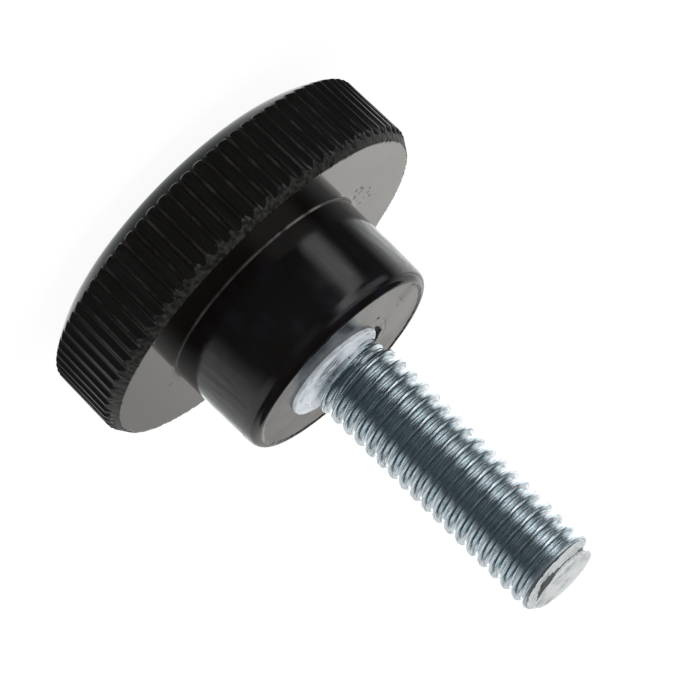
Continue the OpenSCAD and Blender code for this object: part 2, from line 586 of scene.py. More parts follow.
class Plastic(IntEnum):
    """The knob's finishes, in the order of its faces' material numbers."""

    POLISHED = 0
    CHAMFER = 1
    HUB_SIDE = 2
    HUB_FACE = 3
    FILLET = 4
    RIM = 5
    LIP_HIGHLIGHT = 6
    GROOVE_SHADE = 7


@dataclass(frozen=True)
class Anchor:
    """The plain shank and hexagonal head that hold the stud, and the cavity that they fill in the hub."""

    shank_r: float = 2.675
    grip: float = 5.4
    hex_af: float = 10.0
    hex_h: float = 4.0


@dataclass(frozen=True)
class Head:
    """The head's section and its flutes, from the crown's middle to the underside."""

    rim_r: float = RIM_R
    rim_h: float = 4.4
    draft_deg: float = 1.5
    crown_r: float = 50.0
    shoulder_w: float = 3.5
    shoulder_r: float = 7.7
    edge_r: float = 0.2
    chamfer_h: float = 0.8
    chamfer_w: float = 0.5
    flute_count: int = 78
    flute_depth: float = 0.28
    crest_w: float = 0.2
    crest_blend: float = 0.014

    @property
    def lean(self) -> float:
        """How far the rim comes in for each millimetre of height."""
        return math.tan(math.radians(self.draft_deg))

    @property
    def cone(self) -> Pair:
        """Radius at height zero of the cone that the rim lies on, and its lean."""
        return self.rim_r - self.chamfer_z * self.lean, self.lean

    @property
    def rim_top_r(self) -> float:
        """Radius of the rim at the shoulder."""
        return self.rim_r - self.rim_h * self.lean

    @property
    def middle_r(self) -> float:
        """Radius at which the shoulder takes over from the crown's middle."""
        return self.rim_top_r - self.shoulder_w

    def crown_z(self, r: float) -> float:
        """Height of the crown's middle at a radius."""
        return self.crown_r - math.sqrt(self.crown_r ** 2 - r ** 2)

    @property
    def middle_z(self) -> float:
        """Height at which the shoulder starts."""
        return self.crown_z(self.middle_r)

    @property
    def shoulder_centre(self) -> Pair:
        """Centre of the shoulder's arc."""
        share = self.shoulder_r / self.crown_r
        return self.middle_r * (1 - share), self.middle_z + (self.crown_r - self.middle_z) * share

    @property
    def edge_centre(self) -> Pair:
        """Centre of the small arc between the shoulder and the rim."""
        x, z = self.shoulder_centre
        reach = self.shoulder_r - self.edge_r
        r = self.rim_top_r - self.edge_r * math.cos(math.radians(self.draft_deg))
        return r, z - math.sqrt(reach ** 2 - (r - x) ** 2)

    @property
    def rim_z(self) -> float:
        """Height at which the rim starts."""
        return self.edge_centre[1] - self.edge_r * math.sin(math.radians(self.draft_deg))

    @property
    def chamfer_z(self) -> float:
        """Height at which the rim meets the chamfer."""
        return self.rim_z + self.rim_h

    @property
    def chamfer_r(self) -> float:
        """Radius at which the chamfer meets the underside."""
        return self.rim_r - self.chamfer_w

    @property
    def underside_z(self) -> float:
        """Height of the underside."""
        return self.chamfer_z + self.chamfer_h

    def plain_radius(self, z: float) -> float:
        """Radius of the unfluted head at a height, from the shoulder to the underside."""
        if z > self.chamfer_z:
            return self.rim_r - (z - self.chamfer_z) * self.chamfer_w / self.chamfer_h
        if z > self.rim_z:
            return self.rim_r - (self.chamfer_z - z) * self.lean
        x, c = self.edge_centre
        shoulder_x, shoulder_c = self.shoulder_centre
        edge_start = c - self.edge_r * (shoulder_c - c) / (self.shoulder_r - self.edge_r)
        if z > edge_start:
            return x + math.sqrt(max(self.edge_r ** 2 - (c - z) ** 2, 0.0))
        return shoulder_x + math.sqrt(self.shoulder_r ** 2 - (shoulder_c - z) ** 2)

    def flute_radius(self, angle: float, z: float) -> float:
        """Distance from the axis to a flute's wall.

        Args:
            angle: Angle from the flute's middle, in radians.
            z: Height.

        Returns:
            The distance, or a large one where the flute doesn't reach.
        """
        half_chord = self.rim_r * math.sin(math.pi / self.flute_count) - self.crest_w / 2
        depth = self.flute_depth - (self.rim_r - math.sqrt(self.rim_r ** 2 - half_chord ** 2))
        radius = (half_chord ** 2 + depth ** 2) / (2 * depth)
        centre = self.rim_r - self.flute_depth + radius - (self.chamfer_z - z) * self.lean
        inside = radius ** 2 - (centre * math.sin(angle)) ** 2
        return centre * math.cos(angle) - math.sqrt(inside) if inside > 0 else centre

    def radius(self, angle: float, z: float) -> float:
        """Distance from the axis to the finished surface, with its edges slightly rounded."""
        return soft_min(self.plain_radius(z), self.flute_radius(angle, z), self.crest_blend)

    def crossings(self, angle: float) -> Pair:
        """Heights at which a flute starts on the shoulder and ends on the chamfer.

        Args:
            angle: Angle from the flute's middle, in radians.

        Returns:
            The two heights.
        """
        def proud(z: float) -> float:
            return self.plain_radius(z) - self.flute_radius(angle, z)
        if proud(self.rim_z) <= 0:
            return self.rim_z, self.chamfer_z
        end = solve(lambda z: -proud(z), self.chamfer_z, self.underside_z)
        return solve(proud, self.middle_z, self.rim_z), end


@dataclass(frozen=True)
class Hub:
    """The hub, with the hole and the cavity that hold the stud."""

    radius: float = 7.53
    face_z: float = FACE_Z
    draft_deg: float = 0.2
    corner_r: float = 0.6
    ease_r: float = 5.0
    ease_deg: float = 8.0
    fillet_r: float = 0.12
    fine_r: float = 4.4
    anchor: Anchor = Anchor()

    # Rows of the mesh that hold the side's shading straight, and rows inwards from the face's edge
    KEEP = 0.04
    FACE_ROWS = (0.05, 0.1, 0.16, 0.22, 0.28, 0.34, 0.42, 0.9, 1.5, 2.1)
    FINE_ROWS = 28

    def section(self, floor_z: float) -> list[Pair]:
        """The hub's outside, from the fillet to the hole's edge.

        Args:
            floor_z: Height of the head's underside.

        Returns:
            Radius and height of each point.
        """
        top_r = self.radius - (self.face_z - floor_z) * math.tan(math.radians(self.draft_deg))
        fillet = arc((self.radius + self.fillet_r, floor_z + self.fillet_r), self.fillet_r, 270, 180, 4)
        # The side eases into the corner along a wider arc
        lean, reach = math.radians(self.ease_deg), self.ease_r - self.corner_r
        centre_r = top_r - self.ease_r
        outer, seat = centre_r + reach * math.cos(lean), self.face_z - self.corner_r
        ease = arc((centre_r, seat - reach * math.sin(lean)), self.ease_r, 0, self.ease_deg, 5)
        corner = arc((outer, seat), self.corner_r, self.ease_deg, 90, 8)
        # A row close to each end keeps the side's shading straight between them
        flat = [(self.radius, floor_z + self.fillet_r + self.KEEP), (top_r, ease[0][1] - self.KEEP)]
        face = [outer - gap for gap in self.FACE_ROWS]
        inwards = self.anchor.shank_r - self.fine_r
        face += [self.fine_r + inwards * i / self.FINE_ROWS for i in range(self.FINE_ROWS)]
        return fillet + flat + ease[:-1] + corner + [(r, self.face_z) for r in face]

    def cavity(self) -> list[Pair]:
        """The hole and the cavity, as radius and height of each point from the face inwards."""
        hole, wall, top = self.anchor.shank_r, self.anchor.hex_af / 2, self.face_z - self.anchor.grip
        floor = top - self.anchor.hex_h
        return [(hole, self.face_z), (hole, top), (wall, top), (wall, floor), (0, floor)]


@dataclass(frozen=True)
class FaceMarks:
    """Marks in the hub's face: a ragged groove beside the collar, a faint seating ring, a pit and a dish."""

    collar_x: float = 0.6
    groove_r: float = 3.66
    groove_w: float = 0.8
    groove_deep: float = 0.34
    groove_angle: float = 163.0
    groove_span: float = 46.0
    ring_r: float = 3.75
    ring_w: float = 0.1
    ring_deep: float = 0.02
    ring_half: float = 45.0
    pit: Pair = (-3.6, -1.45)
    pit_r: float = 0.12
    pit_deep: float = 0.1
    dish_deep: float = 0.06
    dish_r: float = 6.66
    dish_w: float = 0.18

    # How rough the edges are, how the groove thins and closes at its ends, and how deep it takes painted
    # shade
    RAG_SCALE = 3.5
    RAG_WIDER = 0.8
    RAG_ASIDE = 0.2
    RAG_DISH = 0.1
    ENDS_THINNER = 0.75
    ENDS_OVER = 4
    SHADED_FROM = 0.1

    def depth(self, co: Vector) -> float:
        """How far the face is sunk at a place.

        Args:
            co: The place.

        Returns:
            The depth in millimetres.
        """
        x, reach = co.x - self.collar_x, math.hypot(co.x, co.y)
        r, angle = math.hypot(x, co.y), math.degrees(math.atan2(co.y, x)) % 360
        rag = crumple(Vector((co.x, co.y, 0)) * self.RAG_SCALE, 3)
        along = min(abs(angle - self.groove_angle) / (self.groove_span / 2), 1.0)
        width = self.groove_w * (1 - self.ENDS_THINNER * along) * (1 + self.RAG_WIDER * rag)
        groove = max(0.0, 1 - (2 * abs(r - self.groove_r + self.RAG_ASIDE * rag) / width) ** 2)
        groove *= self.groove_deep * min(1.0, (1 - along) * self.ENDS_OVER)
        turn = abs(math.degrees(math.atan2(co.y, -co.x)))
        faint = max(0.0, 1 - turn / self.ring_half) ** 0.5
        ring = self.ring_deep * faint * max(0.0, 1 - abs(reach - self.ring_r) / self.ring_w)
        pit = self.pit_deep * max(0.0, 1 - math.dist((co.x, co.y), self.pit) / self.pit_r)
        dish = self.dish_deep * clamp(1 - (reach - self.dish_r + self.RAG_DISH * rag) / self.dish_w)
        return dish + max(groove, ring, pit)


class Knob:
    """The moulded knob, one piece from crown to hub face."""

    # Mesh columns over half a flute, and rows over the head, as shares or millimetres
    COLUMNS = (0, 0.25, 0.46, 0.62, 0.73, 0.79, 0.84, 0.9, 1.0)
    CROWN_ROWS = (0.0, 0.12, 0.3, 0.5, 0.7, 0.86, 0.95, 1.0)
    SHOULDER_ROWS = (0.06, 0.15, 0.3, 0.46, 0.62, 0.78, 0.9)
    EDGE_ROWS = (-0.08, -0.035, -0.012, 0.0, 0.012, 0.035, 0.08)
    RIM_ROWS = (0.1, 0.3, 0.5, 0.7, 0.9)
    CHAMFER_ROWS = (0.4, 0.75)
    UNDERSIDE_ROWS = ((-0.02, 0.03), (0.005, 0.008), (0.04, 0.0), (0.12, 0.0), (0.3, 0.0))
    JOIN_R = (10.6, 10.0, 9.0, 8.0)
    HUB_STEPS = 4
    # The lip where a flute runs out, painted pale as a highlight: its share of the flute and half its height
    LIP_SHARE = 0.8
    LIP_HALF = 0.03
    # Chips in the trimmed edge and slack in the flutes: scale, depth and how far in from the edge they start
    CHIPPED = (2.6, 0.08, 0.1)
    CHIP_FROM = 0.15
    CHIP_UP = 0.4
    SLACK = (0.8, 0.012, 0.6)
    # How far in and how far off its cone a face still counts as chamfer, and the depth of the rim's finish
    ON_CHAMFER = (0.08, 0.07)
    RIM_DEEP = 0.5
    # The hub's face starts within this share of its corner, and its marks stop this far inside the corner
    FACE_SHARE = 0.05
    LOOKS_UP = 0.5
    UNMARKED = 0.04

    def __init__(self, head: Head, hub: Hub, marks: FaceMarks) -> None:
        """Keeps the two halves of the form, and the marks on the hub's face."""
        self.head = head
        self.hub = hub
        self.marks = marks
        self.pitch = 2 * math.pi / head.flute_count

    def column(self, angle: float) -> list[Pair]:
        """One column of the head's mesh, from the crown's middle to the underside.

        Args:
            angle: Angle from the flute's middle, in radians.

        Returns:
            Radius and height of each row.
        """
        head, edge = self.head, self.EDGE_ROWS
        low, top = head.middle_z, head.underside_z
        start, end = head.crossings(angle)
        heights = [low + (start + edge[0] - low) * k for k in self.SHOULDER_ROWS]
        heights += [start + gap for gap in edge]
        heights += [start + (end - start) * k for k in self.RIM_ROWS]
        heights += [end + gap for gap in edge]
        heights += [end + (top - end) * k for k in self.CHAMFER_ROWS]
        crown = [(head.middle_r * k, head.crown_z(head.middle_r * k)) for k in self.CROWN_ROWS]
        floor = [(head.chamfer_r - inwards, top - down) for inwards, down in self.UNDERSIDE_ROWS]
        return crown + [(head.radius(angle, z), z) for z in heights] + floor + [(self.JOIN_R[0], top)]

    def add_head_sector(self, bm: Mesh) -> None:
        """Spins a ladder over one flute's pitch, and moves each of its vertices to its place on the head.

        Args:
            bm: The mesh that takes it.
        """
        shares = [-c for c in reversed(self.COLUMNS[1:])] + list(self.COLUMNS)
        angles = [share * self.pitch / 2 for share in shares]
        columns = [self.column(abs(angle)) for angle in angles]
        steps = len(angles) - 1
        spin(bm, wire(bm, [(1.0, float(row)) for row in range(len(columns[0]))]), self.pitch, steps)
        for vert in bm.verts:
            step = round(math.atan2(vert.co.y, vert.co.x) / self.pitch * steps)
            r, z = columns[step][round(vert.co.z)]
            vert.co = (r * math.cos(angles[step]), r * math.sin(angles[step]), z)
        for face in bm.faces:
            # A thin pale edge is painted as a highlight where each flute runs out on the shoulder
            centre = face.calc_center_median()
            angle = abs(math.atan2(centre.y, centre.x))
            start = self.head.crossings(angle)[0]
            if angle < self.LIP_SHARE * self.pitch / 2 and abs(centre.z - start) < self.LIP_HALF:
                face.material_index = Plastic.LIP_HIGHLIGHT

    def shape_cavity(self, bm: Mesh) -> None:
        """Moves the cavity's round wall out to the hexagon.

        Args:
            bm: The mesh.
        """
        anchor, sixth = self.hub.anchor, math.pi / 3
        top = self.hub.face_z - anchor.grip + SAME
        for vert in bm.verts:
            r = math.hypot(vert.co.x, vert.co.y)
            if abs(r - anchor.hex_af / 2) < SAME and top - anchor.hex_h - 2 * SAME < vert.co.z < top:
                turn = math.atan2(vert.co.y, vert.co.x) % sixth - sixth / 2
                vert.co.x /= math.cos(turn)
                vert.co.y /= math.cos(turn)

    def age(self, bm: Mesh) -> None:
        """Roughens the trimmed edge, varies the flutes a little and cuts the marks in the hub's face.

        Args:
            bm: The mesh.
        """
        head, hub = self.head, self.hub
        marked_r = hub.radius - hub.corner_r - self.UNMARKED
        chips, chip_deep, chip_in = self.CHIPPED
        slack, slack_deep, slack_in = self.SLACK
        for vert in bm.verts:
            co = vert.co
            r = math.hypot(co.x, co.y)
            out = Vector((co.x / r, co.y / r, 0)) if r > SAME else Vector((0, 0, 0))
            if r > head.chamfer_r - chip_in and co.z > head.chamfer_z + self.CHIP_FROM:
                chip = chip_deep * abs(crumple(co * chips, 3))
                vert.co = co - (out + Vector((0, 0, self.CHIP_UP))) * chip
            elif r > head.rim_r - slack_in and co.z > head.middle_z:
                vert.co = co - out * slack_deep * max(noise.noise(co * slack), 0.0)
            elif abs(co.z - hub.face_z) < SAME and r < marked_r:
                vert.co.z -= self.marks.depth(co)

    def finish_of(self, face: Face) -> Plastic:
        """Says which finish a face has.

        Args:
            face: The face.

        Returns:
            The finish.
        """
        head, hub = self.head, self.hub
        centre = face.calc_center_median()
        r, up = math.hypot(centre.x, centre.y), centre.z - head.underside_z
        if 0 < r - hub.radius < hub.fillet_r and 0 < up < hub.fillet_r:
            return Plastic.FILLET
        # Deep in the face's groove, a near-black finish is painted shade
        near_collar = r < hub.fine_r and abs(centre.z - hub.face_z) < SAME
        if near_collar and self.marks.depth(centre) > self.marks.SHADED_FROM:
            return Plastic.GROOVE_SHADE
        if r < hub.radius + hub.fillet_r and up > hub.fillet_r / 2:
            high = centre.z > hub.face_z - hub.corner_r * self.FACE_SHARE
            return Plastic.HUB_FACE if high and face.normal.z > self.LOOKS_UP else Plastic.HUB_SIDE
        if up > -SAME or centre.z < head.rim_z:
            return Plastic.POLISHED
        inside, off = self.ON_CHAMFER
        on_chamfer = centre.z > head.chamfer_z and r > head.chamfer_r - inside
        if on_chamfer and abs(r - head.plain_radius(centre.z)) < off:
            return Plastic.CHAMFER
        return Plastic.RIM if r > head.rim_top_r - self.RIM_DEEP else Plastic.POLISHED

    def build(self, finishes: Iterable[Material]) -> Object:
        """Builds the piece.

        Args:
            finishes: The plastics, in the order of their numbers.

        Returns:
            The piece.
        """
        bm = bmesh.new()
        self.add_head_sector(bm)
        floor_z = self.head.underside_z
        inner = [(r, floor_z) for r in self.JOIN_R[1:]] + self.hub.section(floor_z) + self.hub.cavity()
        spin(bm, wire(bm, inner), self.pitch, self.HUB_STEPS)
        others = self.head.flute_count - 1
        spin(bm, whole(bm), self.pitch * others, others, copies=True)
        bmesh.ops.remove_doubles(bm, verts=bm.verts, dist=MERGE)
        self.shape_cavity(bm)
        bmesh.ops.bridge_loops(bm, edges=[e for e in bm.edges if len(e.link_faces) == 1])
        bmesh.ops.recalc_face_normals(bm, faces=bm.faces)
        for face in bm.faces:
            if face.material_index != Plastic.LIP_HIGHLIGHT:
                face.material_index = self.finish_of(face)
        self.age(bm)
        return finish_piece(bm, "moulded_knob", finishes)


# --- the stud ------------------------------------------------------------------------------------


class Zinc(IntEnum):
    """The stud's finishes, in the order of its faces' material numbers."""

    THREAD = 0
    FROSTED = 1
    GROOVE = 2


@dataclass(frozen=True)
class Thread:
    """A rolled M6 x 1 right-hand thread, with a rounded crest and a broad root."""

    crest_r: float = THREAD_R
    root_r: float = 2.5
    pitch: float = 0.995
    crest_w: float = 0.265
    root_w: float = 0.275
    crest_round: float = 0.17
    root_round: float = 0.23
    flank_deg: float = 30.0
    crest_phase: float = 0.24
    steps: int = 96

    def section(self) -> list[Pair]:
        """One pitch of the thread's section, from one root's middle to the next, crest in between.

        Returns:
            Radius and height of each point, with the crest's middle at height zero.
        """
        cut = math.tan(math.radians(self.flank_deg))
        crest_flat = self.crest_w / 2 - self.crest_round * cut
        root_flat = self.root_w / 2 - self.root_round * cut
        valley = (self.root_r + self.root_round, root_flat - 0.5)
        root = arc(valley, self.root_round, 180, 90 + self.flank_deg, 4)
        ridge = (self.crest_r - self.crest_round, -crest_flat)
        crest = arc(ridge, self.crest_round, self.flank_deg - 90, 0, 5)
        flank = [tuple(a + (b - a) * k / 3 for a, b in zip(root[-1], crest[0])) for k in (1, 2)]
        half = [(self.root_r, -0.5)] + root + flank + crest
        points = half + [(self.crest_r, 0.0)] + [(r, -z) for r, z in reversed(half)]
        return [(r, z * self.pitch) for r, z in points]


@dataclass(frozen=True)
class Stud:
    """The stud: thread, run-out, plain shank and hexagonal head."""

    thread: Thread = Thread()
    face_z: float = FACE_Z
    end_z: float = END_Z
    end_crest_r: float = 2.46
    end_root_r: float = 2.27
    end_h: float = 0.75
    start_crest_r: float = 2.6
    start_z: float = 0.3
    start_h: float = 1.0
    start_tilt: float = 0.6
    ripple: float = 0.022
    ripple_z: float = 1.1
    ripple_pitch: float = 0.31
    dent: float = 0.012
    burr: float = 0.3
    frosted_from: float = 18.35
    anchor: Anchor = Anchor()

    # The last crest falls ever faster, and the root sinks from this far before the end over this height
    END_FALL = 1.3
    ROOT_SINKS = (1.0, 0.6)
    # A burr near the end: compass angle and half-width in degrees, distance from the end and half-height
    BURR_AT = (-25.0, 16.0, 0.4, 0.25)
    DENT_SCALE = Vector((1.4, 1.4, 4.2))
    # The painted shade, dark and dull, in the groove under the end face, in degrees: where it opens and
    # closes, and a nick beside it. It and the frost are told by their place on the thread, in pitches off
    # the crest, with a rough edge.
    GROOVE_DEG = (246, 338, 45)
    NICK_DEG = (185, 225, 60)
    GROOVE_FROM = 0.52
    GROOVE_WIDE = 0.22
    FROST_FROM = 0.14
    FROST_BAND = 0.2
    EDGE_RAG = (3, 0.03)
    # The hidden shank's ends, past the hub's face and the top of its head, its sides and the hair round it
    SHANK_ENDS = (0.4, 0.5)
    SHANK_SIDES = 64
    HAIR = 0.01

    @property
    def length(self) -> float:
        """Length of the stud outside the hub."""
        return self.end_z - self.face_z

    def shape_vert(self, vert: bmesh.types.BMVert) -> None:
        """Moves one vertex of the long thread to the run-out or the weaker last turn, or off its true place.

        Args:
            vert: The vertex.
        """
        thread = self.thread
        r = math.hypot(vert.co.x, vert.co.y)
        up = vert.co.z - self.face_z
        left = self.length - up
        # The first crest rises later on the +X side, and the last turn sinks towards the end
        start = clamp((up - self.start_z + self.start_tilt * vert.co.x / r) / self.start_h)
        crest = thread.crest_r - (thread.crest_r - self.start_crest_r) * (1 - start)
        fall = clamp((self.end_h - left) / self.end_h) ** self.END_FALL
        crest -= (thread.crest_r - self.end_crest_r) * fall
        sinks, over = self.ROOT_SINKS
        root = thread.root_r - (thread.root_r - self.end_root_r) * clamp((sinks - left) / over)
        share = (r - thread.root_r) / (thread.crest_r - thread.root_r)
        turn, half_turn, place, half = self.BURR_AT
        aside = abs(math.degrees(math.atan2(vert.co.x, -vert.co.y)) - turn)
        burr = self.burr * max(0.0, 1 - aside / half_turn) * max(0.0, 1 - abs(place - left) / half)
        wave = 1 + math.sin(2 * math.pi * up / self.ripple_pitch)
        ripple = self.ripple * wave * max(0.0, 1 - abs(up - self.ripple_z))
        dent = self.dent * crumple(vert.co * self.DENT_SCALE, 2)
        new_r = root + (crest - root) * share + (burr + ripple) * (1 - share) - abs(dent)
        vert.co.x *= new_r / r
        vert.co.y *= new_r / r

    def finish_of(self, face: Face) -> Zinc:
        """Says which finish a face of the thread has.

        Args:
            face: The face.

        Returns:
            The finish.
        """
        centre = face.calc_center_median()
        up = centre.z - self.face_z
        turn = math.degrees(math.atan2(centre.y, centre.x)) % 360
        turns = (up - self.thread.crest_phase) / self.thread.pitch - turn / 360
        phase = (turns + 0.5) % 1 - 0.5
        crest = turns - phase + turn / 360
        scale, rough = self.EDGE_RAG
        rag = rough * crumple(centre * scale, 3)
        # Painted shade, dark and dull, in the groove under the end face on the front
        opens, shuts, over = self.GROOVE_DEG
        wedge = min(turn - opens, shuts - turn) / over
        nick, nick_end, nick_over = self.NICK_DEG
        if nick < turn < nick_end:
            wedge = (nick_end - turn) / nick_over
        in_groove = abs(phase) > self.GROOVE_FROM + rag - self.GROOVE_WIDE * min(wedge, 1.0)
        if wedge > 0 and up > self.length - self.end_h and in_groove:
            return Zinc.GROOVE
        frosted = crest > self.frosted_from and phase > self.FROST_FROM + rag
        return Zinc.FROSTED if frosted or up > self.length - self.FROST_BAND else Zinc.THREAD

    def build(self, finishes: Iterable[Material]) -> Object:
        """Builds the piece.

        Args:
            finishes: The zincs, in the order of their numbers.

        Returns:
            The piece.
        """
        bm = bmesh.new()
        thread = self.thread
        turns = math.ceil(self.length) + 4
        first = self.face_z - 2 * thread.pitch + thread.crest_phase
        line = wire(bm, [(r, z + first) for r, z in thread.section()])
        spin(bm, line, 2 * math.pi, thread.steps, thread.pitch / thread.steps)
        spin(bm, whole(bm), 2 * math.pi * turns, turns, thread.pitch, copies=True)
        bmesh.ops.remove_doubles(bm, verts=bm.verts, dist=MERGE)
        for height, side in ((self.face_z - 0.5, -1), (self.end_z, 1)):
            bmesh.ops.bisect_plane(bm, geom=whole(bm), dist=1e-5, plane_co=(0, 0, height),
                                   plane_no=(0, 0, side), clear_outer=True, clear_inner=False)
        for face in bm.faces:
            face.material_index = self.finish_of(face)
        for vert in bm.verts:
            self.shape_vert(vert)
        open_edges = [e for e in bm.edges if len(e.link_faces) == 1]
        for face in bmesh.ops.holes_fill(bm, edges=open_edges, sides=0)["faces"]:
            face.material_index = Zinc.FROSTED
        self.add_shank(bm)
        return finish_piece(bm, "zinc_plated_stud", finishes, 50)

    def add_shank(self, bm: Mesh) -> None:
        """Adds the plain shank and the hexagonal head, which the hub hides, a hair clear of its cavity.

        Args:
            bm: The mesh that takes them.
        """
        anchor, hair = self.anchor, self.HAIR
        hex_r = anchor.hex_af / 2 / math.cos(math.pi / 6) - 2 * hair
        head_top = self.face_z - anchor.grip
        below_face, into_head = self.SHANK_ENDS
        shank = (self.SHANK_SIDES, anchor.shank_r - hair, self.face_z - below_face, head_top - into_head)
        head = (6, hex_r, head_top - hair, head_top - anchor.hex_h + hair)
        for segments, radius, top, foot in (shank, head):
            bmesh.ops.create_cone(bm, cap_ends=True, segments=segments, radius1=radius, radius2=radius,
                                  depth=top - foot, matrix=Matrix.Translation((0, 0, (top + foot) / 2)))


@dataclass(frozen=True)
class Collar:
    """The flared collar round the stud, off its axis."""

    radius: float = 3.55
    height: float = 0.27
    flare: float = 0.3
    flare_r: float = 2.6
    flare_w: float = 0.22
    neck_r: float = 2.3
    seat: float = 0.3
    edge_r: float = 0.14
    offset: Pair = (0.6, -0.2)
    stretch: float = 1.05
    face_z: float = FACE_Z
    notch_angle: float = 160.0
    notch_half: float = 26.0
    notch_deep: float = 0.62
    rag: float = 0.09
    swell: float = 0.10
    sag: float = 0.07

    # Scales of the two patterns, how much the notch follows the finer one, and the width and the span of
    # height over which the roughness sets in
    RAG_SCALE = 2.2
    SWELL_SCALE = 0.6
    NOTCH_RAG = 0.5
    SETS_IN = 0.7
    LIFTS = (-0.02, 0.08)
    EDGE_DEG = 84
    EDGE_ROWS = 8
    FLARE_ROWS = 18
    STEPS = 384

    def ragged(self, co: Vector) -> Vector:
        """Where a point of the spun collar lies once its edge is rough.

        Args:
            co: The point, measured from the collar's own axis.

        Returns:
            The new point.
        """
        r = math.hypot(co.x, co.y)
        low, high = self.LIFTS
        rim = clamp((r - self.flare_r) / self.SETS_IN) * clamp((co.z - self.face_z - low) / (high - low))
        rag = crumple(co * self.RAG_SCALE, 4)
        turn = math.degrees(math.atan2(co.y, co.x)) % 360
        notch = max(0.0, 1 - (abs(turn - self.notch_angle) / self.notch_half) ** 2)
        pull = self.rag * max(rag, 0.0) + self.swell * max(noise.noise(co * self.SWELL_SCALE), 0.0)
        pull = rim * (pull + self.notch_deep * notch * (1 + self.NOTCH_RAG * rag)) / r
        return Vector((co.x * (1 - pull), co.y * (1 - pull), co.z - rim * self.sag * max(-rag, 0.0)))

    def build(self, finishes: Iterable[Material]) -> Object:
        """Builds the piece.

        Args:
            finishes: Its zinc.

        Returns:
            The piece.
        """
        bm = bmesh.new()
        inner = self.radius - self.edge_r
        edge = arc((inner, self.height - self.edge_r), self.edge_r, 0, self.EDGE_DEG, self.EDGE_ROWS)
        side = [(self.radius, z) for z in (-self.seat, *self.LIFTS)]
        shares = [k / self.FLARE_ROWS for k in reversed(range(self.FLARE_ROWS))]
        rows = [self.flare_r + (inner - self.flare_r) * share for share in shares]
        cone = [(r, self.height + self.flare * math.exp((self.flare_r - r) / self.flare_w)) for r in rows]
        neck = [(self.neck_r, cone[-1][1]), (0, cone[-1][1])]
        points = [(r, z + self.face_z) for r, z in [(0, -self.seat)] + side + edge + cone + neck]
        spin(bm, wire(bm, points), 2 * math.pi, self.STEPS, closed=True)
        bmesh.ops.remove_doubles(bm, verts=bm.verts, dist=MERGE)
        for vert in bm.verts:
            if math.hypot(vert.co.x, vert.co.y) > SAME:
                vert.co = self.ragged(vert.co)
        bmesh.ops.scale(bm, vec=(1, self.stretch, 1), verts=bm.verts)
        bmesh.ops.translate(bm, vec=(*self.offset, 0), verts=bm.verts)
        return finish_piece(bm, "flared_collar", finishes)


# --- the studio ----------------------------------------------------------------------------------


@dataclass(frozen=True)
class Panel:
    """A soft light or a patch of bright wall that only reflections see.

    It spans compass angles about its azimuth. It may drift with distance, and it starts at a distance.
    """

    azimuth: float
    half_width: float
    soft: float
    level: float
    drift: float = 0.0
    starts: Pair = (14.0, 34.0)


